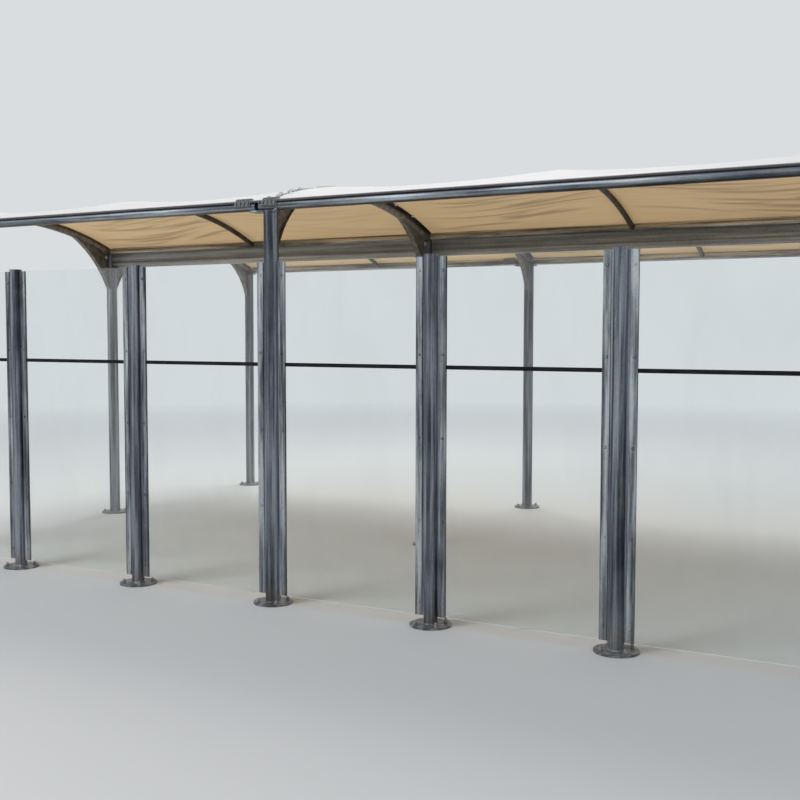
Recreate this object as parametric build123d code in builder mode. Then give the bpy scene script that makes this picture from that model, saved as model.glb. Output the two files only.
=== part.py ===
from build123d import *
import os
from math import asin, cos, sin

os.makedirs("parts", exist_ok=True)

# A walk-through bus shelter: two fabric vaults side by side, on three rows of posts, with a glass
# screen along the front row.  X runs along the screen, Y runs from the screen to the back row, and
# Z = 0 is the ground.  The origin lies on the ground under the middle of the roof.

# Grid
bay = 1200.0                      # screen post to screen post
bays_per_module = 3               # bays of screen under one roof module
row_gap = 2340.0                  # front row to valley row, and valley row to back row

# Tall posts, which carry the roof
post_diameter = 101.6
head_plate_thickness = 10.0
head_plate_width = 100.0
head_plate_margin = 5.0           # of the plate past its saddle blocks
valley_post_rise_height = 52.0    # of its top over the axes of the valley tubes

# Short posts, which carry the screen only
screen_post_diameter = 88.9
screen_post_height = 2318.0
cap_thickness = 5.0
cap_lip = 2.0                     # how far a cap stands out past its tube

# Base plates
base_diameter = 265.0
base_thickness = 12.0
anchor_circle_diameter = 205.0
anchor_hole_diameter = 18.0
anchors_per_post = 4
base_weld_width = 8.0             # of the sloped weld round the foot of a post
base_weld_taper = 45.0

# Eave tubes, and the rail on them that grips the hem of the fabric
eave_tube_diameter = 60.3
eave_tube_wall = 3.2
eave_axis_height = 2682.0         # of the front tubes
back_eave_drop_height = 97.0      # of the back tubes' axis below the front ones
eave_tube_overrun = 62.0          # past the axis of an end post
splice_offset = 84.0              # from the middle post's axis to the end of the right-hand tube
splice_gap = 30.0                 # open space between the two tubes at the middle post
hem_rail_width = 12.0
hem_rail_height = 10.0
saddle_offset = 52.5              # from a post's axis to the middle of a saddle block
saddle_length = 25.0
saddle_width = 48.0
saddle_height = 16.0

# Valley: a gutter with an edge tube on each lip
valley_tube_diameter = 48.3
valley_tube_wall = 2.9
valley_tube_offset = 60.0         # from the valley's centre plane to a tube's axis
valley_drop_height = 30.0         # of their axes below the front eave tubes' axis
gutter_width = 108.0
gutter_depth = 132.0
gutter_lip_width = 18.0
gutter_corner = 34.0              # height and width of the sloped lower corners
gutter_sheet_thickness = 4.0
gutter_end_gap = 5.0              # between a gutter's end and the post beside it
seat_thickness = 8.0
seat_reach = 60.0                 # how far a gutter seat stands out from its post
seat_width = 90.0

# Arches and ribs
vault_rise = 205.0                # of the fabric over its edges, at an arch or a rib
arch_tube_diameter = 60.3
lacing_bar_width = 110.0          # of the middle arches' bar; the end arches' has no inner half
lacing_bar_thickness = 6.0
lacing_bar_weld_depth = 1.5       # how deep the arch tube sits in its lacing bar
arch_tube_end = 1.04              # where the tube stops inside the valley post, as a share
rib_diameter = 42.4

# Haunches: a plate between an arch and its post, with a flange along its curved edge
eave_haunch_depth = 330.0         # from the edge of the fabric down to where it leaves the post
valley_haunch_depth = 400.0
haunch_reach = 490.0              # from the edge of the fabric in to its tip
haunch_tip_drop = 15.0            # of the tip below the axis of the arch tube
haunch_waist_reach = 190.0        # a point on the curved edge, from the post's axis
eave_haunch_waist_height = 235.0  # and above the foot
valley_haunch_waist_height = 212.0
haunch_plate_thickness = 10.0
haunch_flange_width = 44.0
haunch_flange_thickness = 6.0

# Fabric
fabric_thickness = 5.0
fabric_sag_depth = 47.0           # how far it dips between an arch and the next rib
fabric_lap_width = 15.0           # of the side of the fabric on a lacing bar
rail_end_gap = 12.0               # from a lacing bar to the end of a hem rail
hem_overhang = 14.0               # of the fabric past the rail that grips it

# Glass screen
glass_thickness = 8.0
glass_bottom = 60.0
glass_top_gap = 10.0              # under the top of a screen post
joint_height = 1625.0             # middle of the strip between the two panes of a bay
joint_strip_height = 25.0
joint_strip_thickness = 12.0
web_reach = 20.0                  # of the plate that stands out from a post, in the glass plane
glass_edge_gap = 3.0              # from that plate to the glass
clamp_width = 45.0
clamp_thickness = 6.0
clamp_inset = 14.0                # from a post's surface to the clamp beside it
clamp_bolts = 5                   # along each clamp
clamp_bolt_end_gap = 85.0         # from the end of a clamp to its first bolt
clamp_bolt_diameter = 20.0        # of the low round heads on the outer faces
clamp_bolt_head_height = 7.0
clamp_bolt_head_taper = 25.0

clearance = 0.3                   # between curved faces that meet

# Sizes that follow
frame_gap = bays_per_module * bay
post_radius = post_diameter / 2
screen_post_radius = screen_post_diameter / 2
eave_radius = eave_tube_diameter / 2
valley_tube_radius = valley_tube_diameter / 2
arch_radius = arch_tube_diameter / 2
rib_radius = rib_diameter / 2
eave_heights = {-1: eave_axis_height, 1: eave_axis_height - back_eave_drop_height}
valley_tube_axis_height = eave_axis_height - valley_drop_height
valley_post_height = valley_tube_axis_height + valley_post_rise_height
gutter_top = valley_tube_axis_height - valley_tube_radius - clearance
gutter_bottom = gutter_top - gutter_depth
gutter_start = post_radius + gutter_end_gap
fabric_start = lacing_bar_width / 2 - fabric_lap_width
rail_start = lacing_bar_width / 2 + rail_end_gap
glass_top = screen_post_height - glass_top_gap
glass_height = glass_top - glass_bottom

# The vaults in section, with side -1 for the front one and 1 for the back one.  The lower face of
# the fabric is an arc whose chord runs from the hem rail of the eave to the hem rail of the valley.
eave_edges = {
    side: Vector(
        -hem_rail_width / 2 - row_gap,
        eave_heights[side] + eave_radius + hem_rail_height + clearance,
    )
    for side in (-1, 1)
}
valley_edge = Vector(
    hem_rail_width / 2 - valley_tube_offset,
    valley_tube_axis_height + valley_tube_radius + hem_rail_height + clearance,
)
chords = {side: valley_edge - eave_edges[side] for side in (-1, 1)}


def vault_point(side, share, rise=vault_rise, offset=0.0):
    # share is -1 at the eave, 0 at the crown and 1 at the valley; offset is measured upwards
    # from the lower face of the fabric
    half_chord = chords[side].length / 2
    along = chords[side].normalized()
    upwards = Vector(-along.Y, along.X)
    radius = (half_chord**2 + rise**2) / (2 * rise)
    angle = share * asin(half_chord / radius)
    centre = (eave_edges[side] + valley_edge) / 2 - upwards * (radius - rise)
    point = centre + (along * sin(angle) + upwards * cos(angle)) * (radius + offset)
    return (-side * point.X, point.Y)


def head_plate_top(side):
    return eave_heights[side] - eave_radius - clearance


def save(builder, label):
    builder.part.label = label
    export_step(builder.part, f"parts/{label}.step")


# Posts
def make_post(label, x, y, radius, height, web_sides=(), saddle_offsets=(), seat_sides=()):
    # web_sides and seat_sides are -1 towards the left and 1 towards the right.  A post with saddle
    # blocks carries an eave tube on its head plate, and any other post ends in a cap.
    with BuildPart() as post:
        with BuildSketch(Plane.XY):
            with Locations((x, y)):
                Circle(base_diameter / 2)
                with PolarLocations(anchor_circle_diameter / 2, anchors_per_post, start_angle=45):
                    Circle(anchor_hole_diameter / 2, mode=Mode.SUBTRACT)
        extrude(amount=base_thickness)
        with BuildSketch(Plane.XY.offset(base_thickness)):
            with Locations((x, y)):
                Circle(radius + base_weld_width)
        extrude(amount=base_weld_width, taper=base_weld_taper)
        with BuildSketch(Plane.XY):
            with Locations((x, y)):
                Circle(radius)
        extrude(amount=height)
        if not saddle_offsets:
            with BuildSketch(Plane.XY.offset(height)):
                with Locations((x, y)):
                    Circle(radius + cap_lip)
            extrude(amount=cap_thickness)
        for web_side in web_sides:
            with BuildSketch(Plane.XY.offset(glass_bottom)):
                with Locations((x + web_side * (radius + web_reach) / 2, y)):
                    Rectangle(radius + web_reach, glass_thickness)
            extrude(amount=glass_height)
        if saddle_offsets:
            plate_start = min(saddle_offsets) - saddle_length / 2 - head_plate_margin
            plate_end = max(saddle_offsets) + saddle_length / 2 + head_plate_margin
            with BuildSketch(Plane.XY.offset(height)):
                with Locations((x + (plate_start + plate_end) / 2, y)):
                    Rectangle(plate_end - plate_start, head_plate_width)
            extrude(amount=head_plate_thickness)
            with BuildSketch(Plane.XY.offset(height + head_plate_thickness)):
                with Locations(*[(x + saddle_place, y) for saddle_place in saddle_offsets]):
                    Rectangle(saddle_length, saddle_width)
            extrude(amount=saddle_height)
            with BuildSketch(Plane.YZ.offset(x)):
                with Locations((y, height + head_plate_thickness + clearance + eave_radius)):
                    Circle(eave_radius + clearance)
            extrude(amount=plate_end - plate_start, both=True, mode=Mode.SUBTRACT)
        for seat_side in seat_sides:
            with BuildSketch(Plane.XY.offset(gutter_bottom - seat_thickness)):
                with Locations((x + seat_side * (radius + seat_reach) / 2, y)):
                    Rectangle(radius + seat_reach, seat_width)
            extrude(amount=seat_thickness)
    save(post, label)


frames = (("left", -frame_gap, (1,)), ("centre", 0.0, (-1, 1)), ("right", frame_gap, (-1,)))
end_saddles = (-saddle_offset, saddle_offset)
splice_saddles = (-splice_offset - splice_gap - saddle_length / 2, saddle_offset)
for place, frame_x, inner_sides in frames:
    saddles = splice_saddles if place == "centre" else end_saddles
    make_post(f"front_post_{place}", frame_x, -row_gap, post_radius,
              head_plate_top(-1) - head_plate_thickness, web_sides=inner_sides, saddle_offsets=saddles)
    make_post(f"back_post_{place}", frame_x, row_gap, post_radius,
              head_plate_top(1) - head_plate_thickness, saddle_offsets=saddles)
    make_post(f"valley_post_{place}", frame_x, 0.0, post_radius, valley_post_height,
              seat_sides=inner_sides)

# The screen's posts from left to right: the tall front posts and the short posts between them
screen_radii = []
short_posts = 0
for number in range(2 * bays_per_module + 1):
    if number % bays_per_module == 0:
        screen_radii.append(post_radius)
    else:
        screen_radii.append(screen_post_radius)
        short_posts += 1
        make_post(f"screen_post_{short_posts}", number * bay - frame_gap, -row_gap, screen_post_radius,
                  screen_post_height, web_sides=(-1, 1))


# Glass, one lower and one upper pane to a bay, with a strip between them
clamp_reach = clamp_inset + clamp_width
clamp_middle = clamp_inset + clamp_width / 2
clamp_offset = (glass_thickness + clamp_thickness) / 2
bolt_pitch = (glass_height - 2 * clamp_bolt_end_gap) / (clamp_bolts - 1)
bays = []
for number in range(2 * bays_per_module):
    left_face = number * bay - frame_gap + screen_radii[number]
    right_face = (number + 1) * bay - frame_gap - screen_radii[number + 1]
    bays.append((left_face, right_face))
    glass_start = left_face + web_reach + glass_edge_gap
    glass_end = right_face - web_reach - glass_edge_gap
    with BuildPart() as lower_pane:
        with BuildSketch(Plane.XY.offset(glass_bottom)):
            with Locations(((glass_start + glass_end) / 2, -row_gap)):
                Rectangle(glass_end - glass_start, glass_thickness)
        extrude(amount=joint_height - joint_strip_height / 2 - glass_bottom)
    save(lower_pane, f"lower_pane_{number + 1}")
    with BuildPart() as upper_pane:
        with BuildSketch(Plane.XY.offset(joint_height + joint_strip_height / 2)):
            with Locations(((glass_start + glass_end) / 2, -row_gap)):
                Rectangle(glass_end - glass_start, glass_thickness)
        extrude(amount=glass_top - joint_height - joint_strip_height / 2)
    save(upper_pane, f"upper_pane_{number + 1}")

with BuildPart() as joint_strips:
    with BuildSketch(Plane.XY.offset(joint_height - joint_strip_height / 2)):
        for left_face, right_face in bays:
            with Locations(((left_face + right_face) / 2, -row_gap)):
                Rectangle(right_face - left_face - 2 * clamp_reach, joint_strip_thickness)
    extrude(amount=joint_strip_height)
save(joint_strips, "joint_strips")

for label, direction in (("front_clamps", -1), ("rear_clamps", 1)):
    with BuildPart() as clamps:
        with BuildSketch(Plane.XY.offset(glass_bottom)):
            for left_face, right_face in bays:
                with Locations((left_face + clamp_middle, direction * clamp_offset - row_gap),
                               (right_face - clamp_middle, direction * clamp_offset - row_gap)):
                    Rectangle(clamp_width, clamp_thickness)
        extrude(amount=glass_height)
        outer_face = direction * (clamp_offset + clamp_thickness / 2) - row_gap
        with BuildSketch(Plane(origin=(0, outer_face, 0), x_dir=(1, 0, 0), z_dir=(0, direction, 0))):
            for left_face, right_face in bays:
                for clamp_x in (left_face + clamp_middle, right_face - clamp_middle):
                    for bolt_number in range(clamp_bolts):
                        bolt_height = glass_bottom + clamp_bolt_end_gap + bolt_number * bolt_pitch
                        with Locations((clamp_x, -direction * bolt_height)):
                            Circle(clamp_bolt_diameter / 2)
        extrude(amount=clamp_bolt_head_height, taper=clamp_bolt_head_taper)
    save(clamps, label)


# Tubes along the roof
def make_tube(label, spans, y, height, radius, wall, rail_spans):
    # Each span is a start and an end along X; the rails are flat bars on top of the tube
    with BuildPart() as tube:
        for start, end in spans:
            with BuildSketch(Plane.YZ.offset(start)):
                with Locations((y, height)):
                    Circle(radius)
            extrude(amount=end - start)
        for start, end in rail_spans:
            with BuildSketch(Plane.YZ.offset(start)):
                with Locations((y, height + (radius + hem_rail_height) / 2)):
                    Rectangle(hem_rail_width, radius + hem_rail_height)
            extrude(amount=end - start)
        for start, end in spans:
            with BuildSketch(Plane.YZ.offset(start)):
                with Locations((y, height)):
                    Circle(radius - wall)
            extrude(amount=end - start, mode=Mode.SUBTRACT)
    save(tube, label)


modules = (("left", -frame_gap, 0.0), ("right", 0.0, frame_gap))
eave_spans = {
    "left": (-frame_gap - eave_tube_overrun, -splice_offset - splice_gap),
    "right": (-splice_offset, frame_gap + eave_tube_overrun),
}
eave_rails = {
    "left": (rail_start - frame_gap, -splice_offset - splice_gap),
    "right": (rail_start, frame_gap - rail_start),
}
valley_spans = [(start + gutter_start, end - gutter_start) for _, start, end in modules]
valley_rails = [(start + rail_start, end - rail_start) for _, start, end in modules]
for side_name, side in (("front", -1), ("back", 1)):
    for place, _, _ in modules:
        make_tube(f"{side_name}_eave_tube_{place}", [eave_spans[place]], side * row_gap,
                  eave_heights[side], eave_radius, eave_tube_wall, [eave_rails[place]])
    make_tube(f"{side_name}_valley_tubes", valley_spans, side * valley_tube_offset,
              valley_tube_axis_height, valley_tube_radius, valley_tube_wall, valley_rails)

# Gutters, closed at both ends
for place, start, end in modules:
    gutter_length = end - start - 2 * gutter_start
    half = gutter_width / 2
    with BuildPart() as gutter:
        with BuildSketch(Plane.YZ.offset(start + gutter_start)) as outline:
            with BuildLine():
                Polyline(
                    (-half, gutter_top),
                    (-half, gutter_bottom + gutter_corner),
                    (gutter_corner - half, gutter_bottom),
                    (half - gutter_corner, gutter_bottom),
                    (half, gutter_bottom + gutter_corner),
                    (half, gutter_top),
                    close=True,
                )
            make_face()
        extrude(amount=gutter_length)
        with BuildSketch(Plane.YZ.offset(start + gutter_start)):
            for lip_side in (-1, 1):
                with Locations((lip_side * (half + gutter_lip_width / 2),
                                gutter_top - gutter_sheet_thickness / 2)):
                    Rectangle(gutter_lip_width, gutter_sheet_thickness)
        extrude(amount=gutter_length)
        with BuildSketch(Plane.YZ.offset(start + gutter_start + gutter_sheet_thickness)):
            add(outline.sketch_local)
            offset(amount=-gutter_sheet_thickness, mode=Mode.REPLACE)
            with Locations((0, gutter_top - gutter_sheet_thickness)):
                Rectangle(gutter_width - 2 * gutter_sheet_thickness, 2 * gutter_sheet_thickness)
        extrude(amount=gutter_length - 2 * gutter_sheet_thickness, mode=Mode.SUBTRACT)
    save(gutter, f"valley_gutter_{place}")


# Arches: a tube under a flat lacing bar, with a haunch down to the post at each end
def make_arch(label, x, side, bar_low, bar_high):
    # bar_low and bar_high are where the bar ends, from the arch's plane.  share_side is -1 at the
    # eave and 1 at the valley, and inward points along Y into the vault.
    bar_bottom = -clearance - lacing_bar_thickness
    tube_offset = bar_bottom - arch_radius + lacing_bar_weld_depth
    tip_share = 1 - haunch_reach / (chords[side].length / 2)
    ends = (
        (-1, side * row_gap, -side, eave_edges[side].Y - eave_haunch_depth,
         eave_haunch_waist_height, head_plate_top(side)),
        (1, 0.0, side, valley_edge.Y - valley_haunch_depth,
         valley_haunch_waist_height, valley_post_height),
    )
    with BuildPart() as arch:
        with BuildLine(Plane.YZ.offset(x)) as tube_axis:
            ThreePointArc(
                vault_point(side, -1, offset=tube_offset),
                vault_point(side, 0, offset=tube_offset),
                vault_point(side, arch_tube_end, offset=tube_offset),
            )
        with BuildSketch(Plane(origin=tube_axis.line @ 0, z_dir=tube_axis.line % 0)):
            Circle(arch_radius)
        sweep()
        with BuildSketch(Plane.YZ.offset(x + bar_low)):
            with BuildLine():
                top = ThreePointArc(
                    *[vault_point(side, share, offset=-clearance) for share in (-1, 0, 1)]
                )
                bottom = ThreePointArc(
                    *[vault_point(side, share, offset=bar_bottom) for share in (-1, 0, 1)]
                )
                Line(top @ 0, bottom @ 0)
                Line(top @ 1, bottom @ 1)
            make_face()
        extrude(amount=bar_high - bar_low)
        for share_side, row_y, inward, foot, waist_height, _ in ends:
            tip = vault_point(side, share_side * tip_share, offset=tube_offset - haunch_tip_drop)
            root = vault_point(side, share_side, offset=tube_offset)
            waist = (row_y + inward * haunch_waist_reach, foot + waist_height)
            with BuildSketch(Plane.YZ.offset(x)):
                with BuildLine():
                    edge = ThreePointArc((row_y + inward * post_radius, foot), waist, tip)
                    Polyline(tip, root, (row_y, root[1]), (row_y, foot), edge @ 0)
                make_face()
            extrude(amount=haunch_plate_thickness / 2, both=True)
            with BuildSketch(Plane.YZ.offset(x)):
                with BuildLine() as flange_line:
                    ThreePointArc((row_y + inward * post_radius, foot), waist, tip)
                trace(line_width=haunch_flange_thickness)
            extrude(amount=haunch_flange_width / 2, both=True)
        with BuildSketch(Plane.YZ.offset(x)):
            with Locations((side * row_gap, eave_heights[side])):
                Circle(eave_radius + clearance)
        extrude(amount=lacing_bar_width, both=True, mode=Mode.SUBTRACT)
        for _, row_y, _, _, _, top_height in ends:
            with BuildSketch(Plane.XY):
                with Locations((x, row_y)):
                    Circle(post_radius + clearance)
            extrude(amount=top_height + clearance, mode=Mode.SUBTRACT)
    save(arch, label)


# Ribs: a plain tube half way along each module, coped onto the eave tube and the valley tube
def make_rib(label, x, side):
    with BuildPart() as rib:
        with BuildLine(Plane.YZ.offset(x)) as rib_axis:
            ThreePointArc(
                (side * row_gap, eave_heights[side]),
                vault_point(side, 0, offset=-clearance - rib_radius),
                (side * valley_tube_offset, valley_tube_axis_height),
            )
        with BuildSketch(Plane(origin=rib_axis.line @ 0, z_dir=rib_axis.line % 0)):
            Circle(rib_radius)
        sweep()
        with BuildSketch(Plane.YZ.offset(x)):
            for y, height, radius in (
                (side * row_gap, eave_heights[side], eave_radius),
                (side * valley_tube_offset, valley_tube_axis_height, valley_tube_radius),
            ):
                with Locations((y, height)):
                    Circle(radius + clearance)
                with Locations((y, height + radius)):
                    Rectangle(hem_rail_width + 2 * clearance, 2 * (hem_rail_height + clearance))
        extrude(amount=rib_diameter, both=True, mode=Mode.SUBTRACT)
    save(rib, label)


# Fabric: one sheet to a module of a vault, lofted from arc to arc.  It lies flat on the lacing
# bars, over the whole of an end arch, is highest over an arch or a rib, and dips between them.
# Its corners are cut out round the end posts of the valley.
def make_fabric(label, start, end, side, fabric_low, fabric_high):
    low = start + rail_start
    middle = (start + end) / 2
    high = end - rail_start
    stations = (
        ((fabric_low, 0.0), (low, 0.0)),
        ((low, 0.0), ((low + middle) / 2, fabric_sag_depth), (middle, 0.0)),
        ((middle, 0.0), ((middle + high) / 2, fabric_sag_depth), (high, 0.0)),
        ((high, 0.0), (fabric_high, 0.0)),
    )
    edge_share = 1 + hem_overhang / (chords[side].length / 2)
    shares = (-edge_share, 0, edge_share)
    with BuildPart() as fabric:
        for stretch in stations:
            for x, sag in stretch:
                rise = vault_rise - sag
                with BuildSketch(Plane.YZ.offset(x)):
                    with BuildLine():
                        lower = ThreePointArc(*[vault_point(side, share, rise) for share in shares])
                        upper = ThreePointArc(
                            *[vault_point(side, share, rise, fabric_thickness) for share in shares]
                        )
                        Line(lower @ 0, upper @ 0)
                        Line(lower @ 1, upper @ 1)
                    make_face()
            loft()
        with BuildSketch(Plane.XY):
            for post_x in (start, end):
                with Locations((post_x, 0)):
                    Circle(post_radius + cap_lip + clearance)
        extrude(amount=valley_post_height + cap_thickness, mode=Mode.SUBTRACT)
    save(fabric, label)


half_bar = lacing_bar_width / 2
bar_ends = {
    "left": (-half_bar, arch_radius),
    "centre": (-half_bar, half_bar),
    "right": (-arch_radius, half_bar),
}
fabric_ends = {
    "left": (-frame_gap - fabric_start, -fabric_start),
    "right": (fabric_start, frame_gap + fabric_start),
}
for side_name, side in (("front", -1), ("back", 1)):
    for place, frame_x, _ in frames:
        make_arch(f"{side_name}_arch_{place}", frame_x, side, *bar_ends[place])
    for place, start, end in modules:
        make_rib(f"{side_name}_rib_{place}", (start + end) / 2, side)
        make_fabric(f"{side_name}_canopy_{place}", start, end, side, *fabric_ends[place])
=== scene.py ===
import math

import bpy
import numpy as np
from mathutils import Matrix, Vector


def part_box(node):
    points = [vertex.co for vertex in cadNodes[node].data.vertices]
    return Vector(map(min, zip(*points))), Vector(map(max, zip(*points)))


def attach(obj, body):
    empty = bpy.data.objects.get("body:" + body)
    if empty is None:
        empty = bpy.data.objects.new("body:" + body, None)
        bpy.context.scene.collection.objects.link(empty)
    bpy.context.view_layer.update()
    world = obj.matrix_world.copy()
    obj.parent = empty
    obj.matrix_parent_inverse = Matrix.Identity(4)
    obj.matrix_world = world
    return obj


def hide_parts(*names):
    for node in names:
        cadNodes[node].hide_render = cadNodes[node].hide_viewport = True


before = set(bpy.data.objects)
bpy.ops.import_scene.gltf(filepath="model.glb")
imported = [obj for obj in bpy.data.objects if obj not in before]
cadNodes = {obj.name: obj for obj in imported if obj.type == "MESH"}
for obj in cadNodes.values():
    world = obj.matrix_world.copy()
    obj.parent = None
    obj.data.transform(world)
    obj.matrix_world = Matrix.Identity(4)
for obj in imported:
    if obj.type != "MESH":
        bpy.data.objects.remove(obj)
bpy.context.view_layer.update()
print("frame loaded:", len(cadNodes), "nodes")


def middleOf(nodeName):
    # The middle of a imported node's box, to a tenth of a millimetre
    low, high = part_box(nodeName)
    return [round((a + b) / 2, 4) for a, b in zip(low, high)]


# Where things are, in metres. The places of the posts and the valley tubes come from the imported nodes.
shelter = {
    "frameX": [middleOf(f"valley_post_{place}")[0] for place in ("left", "centre", "right")],
    "baysPerModule": 3,
    "rowY": middleOf("back_post_centre")[1],  # the front row is as far the other way
    "valleyY": middleOf("back_valley_tubes")[1],
    "railHalf": 0.006,  # half the width of a hem rail
    "railHeight": 0.010,
    "eaveRadius": 0.03015,
    "fit": 0.0003,  # between curved faces that meet
    "capRadius": 0.0528,  # of the cap on a valley post
    "baseTop": 0.012,
    "anchorCircle": 0.1025,  # radius of the circle of anchors round a post
}
leftX, middleX, rightX = shelter["frameX"]
bay = (middleX - leftX) / shelter["baysPerModule"]
sides = {"front": -1, "back": 1}
modules = {"left": (leftX, middleX), "right": (middleX, rightX)}

# The two vaults differ in the height of their eaves
eaveZ = {side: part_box(f"{name}_eave_tube_right")[1].z + shelter["fit"] for name, side in sides.items()}
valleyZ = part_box("front_valley_tubes")[1].z + shelter["fit"]
eaveAxis = {side: top - shelter["fit"] - shelter["railHeight"] - shelter["eaveRadius"]
            for side, top in eaveZ.items()}


# Meshes: a shape is (points, faces), where points is an (n, 3) array and faces a list of index
# arrays, one for each number of corners
def makePiece(name, points, faces, material, slot=None, smooth=True):
    mesh = bpy.data.meshes.new(name)
    corners = [row for block in faces for row in block.tolist()]
    mesh.from_pydata(points.tolist(), [], corners)
    mesh.materials.append(material)
    mesh.polygons.foreach_set("use_smooth", np.full(len(mesh.polygons), smooth))
    mesh.update()
    piece = bpy.data.objects.new(name, mesh)
    bpy.context.scene.collection.objects.link(piece)
    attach(piece, "root")
    return piece


def gridFaces(rows, columns, closedRows=False, closedColumns=False):
    # Quads of a grid whose point (i, j) has number i * columns + j
    i = np.arange(rows if closedRows else rows - 1)
    j = np.arange(columns if closedColumns else columns - 1)
    i, j = (a.ravel() for a in np.meshgrid(i, j, indexing="ij"))
    nextI, nextJ = (i + 1) % rows, (j + 1) % columns
    corners = [i * columns + j, nextI * columns + j, nextI * columns + nextJ, i * columns + nextJ]
    return np.stack(corners, 1)


def fanFaces(centre, first, count, turn):
    # Triangles from a centre point to a ring whose points are numbered on from first. turn is 1
    # or -1, and says which way round they go.
    number = np.arange(count)
    pair = (first + number, first + (number + 1) % count)[::turn]
    return np.stack([np.full(count, centre), *pair], 1)


def turnedRings(profile, count):
    # A profile of (radius, height) rows turned about Z: x = r cos a, y = r sin a
    profile = np.asarray(profile, float)
    angle = np.linspace(0, 2 * math.pi, count, endpoint=False)
    radius, height = profile[:, :1], profile[:, 1:]
    return np.stack([radius * np.cos(angle), radius * np.sin(angle), height + 0 * angle], 2).reshape(-1, 3)


def solidShape(profile, count):
    # A turned solid: its first and last rings close on the axis
    rows = len(profile)
    points = np.vstack([turnedRings(profile, count), [0, 0, profile[0][1]], [0, 0, profile[-1][1]]])
    walls = gridFaces(rows, count, closedColumns=True)[:, ::-1]
    bottom = fanFaces(rows * count, 0, count, -1)
    top = fanFaces(rows * count + 1, (rows - 1) * count, count, 1)
    return points, [walls, bottom, top]


def ringShape(profile, count):
    # A turned ring with a hole: its profile closes on itself
    faces = gridFaces(len(profile), count, closedRows=True, closedColumns=True)[:, ::-1]
    return turnedRings(profile, count), [faces]


def scatter(shape, places, turns):
    # The same shape at every place: point = turn x shape + place, with a 3 x 3 matrix for each place
    points, faces = shape
    places, turns = np.asarray(places, float), np.asarray(turns, float)
    moved = np.einsum("kab,nb->kna", turns, points) + places[:, None, :]
    shift = np.arange(len(places))[:, None, None] * len(points)
    return moved.reshape(-1, 3), [(block[None] + shift).reshape(-1, block.shape[1]) for block in faces]


def tubeAlong(path, radius, count, reference, closed=False):
    # A round tube along a path: point = path + radius (cos a u + sin a v), where u is square to the
    # path and to a reference direction that the path never takes, and v to the path and to u
    path = np.asarray(path, float)
    if closed:
        along = np.roll(path, -1, axis=0) - np.roll(path, 1, axis=0)
    else:
        along = np.gradient(path, axis=0)
    along /= np.linalg.norm(along, axis=1, keepdims=True)
    first = np.cross(along, reference)
    first /= np.linalg.norm(first, axis=1, keepdims=True)
    second = np.cross(along, first)
    angle = np.linspace(0, 2 * math.pi, count, endpoint=False)[None, :, None]
    rings = path[:, None] + radius * (np.cos(angle) * first[:, None] + np.sin(angle) * second[:, None])
    rows = len(path)
    walls = gridFaces(rows, count, closedRows=closed, closedColumns=True)[:, ::-1]
    if closed:
        return rings.reshape(-1, 3), [walls]
    points = np.vstack([rings.reshape(-1, 3), path[0], path[-1]])
    startCap = fanFaces(rows * count, 0, count, -1)
    endCap = fanFaces(rows * count + 1, (rows - 1) * count, count, 1)
    return points, [walls, startCap, endCap]


def joinShapes(shapes):
    # Several shapes as one
    offset, points, faces = 0, [], []
    for somePoints, someFaces in shapes:
        points.append(somePoints)
        faces += [block + offset for block in someFaces]
        offset += len(somePoints)
    return np.vstack(points), faces


def rounded(path, passes, closed=False):
    # Each pass cuts every corner of a path at a quarter and three quarters of its runs
    for _ in range(passes):
        start, end = (path, np.roll(path, -1, axis=0)) if closed else (path[:-1], path[1:])
        cut = np.empty((2 * len(start), path.shape[1]))
        cut[0::2] = 0.75 * start + 0.25 * end
        cut[1::2] = 0.25 * start + 0.75 * end
        path = cut if closed else np.vstack([path[:1], cut, path[-1:]])
    return path


# Materials: tree is the node tree that a node is added to, and an input is a value or an output
# of another node
def newMaterial(name):
    material = bpy.data.materials.new(name)
    material.use_nodes = True
    tree = material.node_tree
    return material, tree, tree.nodes["Principled BSDF"]


def setInputs(tree, node, inputs):
    for socket, value in inputs:
        if isinstance(value, bpy.types.NodeSocket):
            tree.links.new(value, node.inputs[socket])
        else:
            node.inputs[socket].default_value = value


def addNode(tree, kind, inputs=(), **settings):
    made = tree.nodes.new(kind)
    for key, value in settings.items():
        setattr(made, key, value)
    setInputs(tree, made, inputs)
    return made


def objectPattern(tree, kind, scale, spread=(1, 1, 1), output=0, **inputs):
    # A noise or cell pattern on the piece's own coordinates, squeezed along each axis by spread
    place = addNode(tree, "ShaderNodeTexCoord")
    stretch = addNode(tree, "ShaderNodeMapping", [("Vector", place.outputs["Object"]), ("Scale", spread)])
    made = addNode(tree, kind, [("Vector", stretch.outputs[0]), ("Scale", scale), *inputs.items()])
    return made.outputs[output]


def placeSocket(tree, axis):
    # The piece's own X, Y or Z, where axis is 0, 1 or 2
    place = addNode(tree, "ShaderNodeTexCoord")
    return addNode(tree, "ShaderNodeSeparateXYZ", [("Vector", place.outputs["Object"])]).outputs[axis]


def colourRamp(tree, factor, stops):
    ramp = addNode(tree, "ShaderNodeValToRGB", [("Fac", factor)])
    elements, stops = ramp.color_ramp.elements, list(stops)
    while len(elements) < len(stops):
        elements.new(0.5)
    for element, (position, colour) in zip(elements, stops):
        element.position = position
        element.color = (*colour, 1)
    return ramp.outputs[0]


def mixColour(tree, factor, first, second, blend="MIX"):
    first, second = (colour if isinstance(colour, bpy.types.NodeSocket) else (*colour, 1)
                     for colour in (first, second))
    return addNode(tree, "ShaderNodeMix", [(0, factor), (6, first), (7, second)], data_type="RGBA",
                   blend_type=blend).outputs[2]


def mixShader(tree, factor, first, second):
    return addNode(tree, "ShaderNodeMixShader", [(0, factor), (1, first), (2, second)]).outputs[0]


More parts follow.
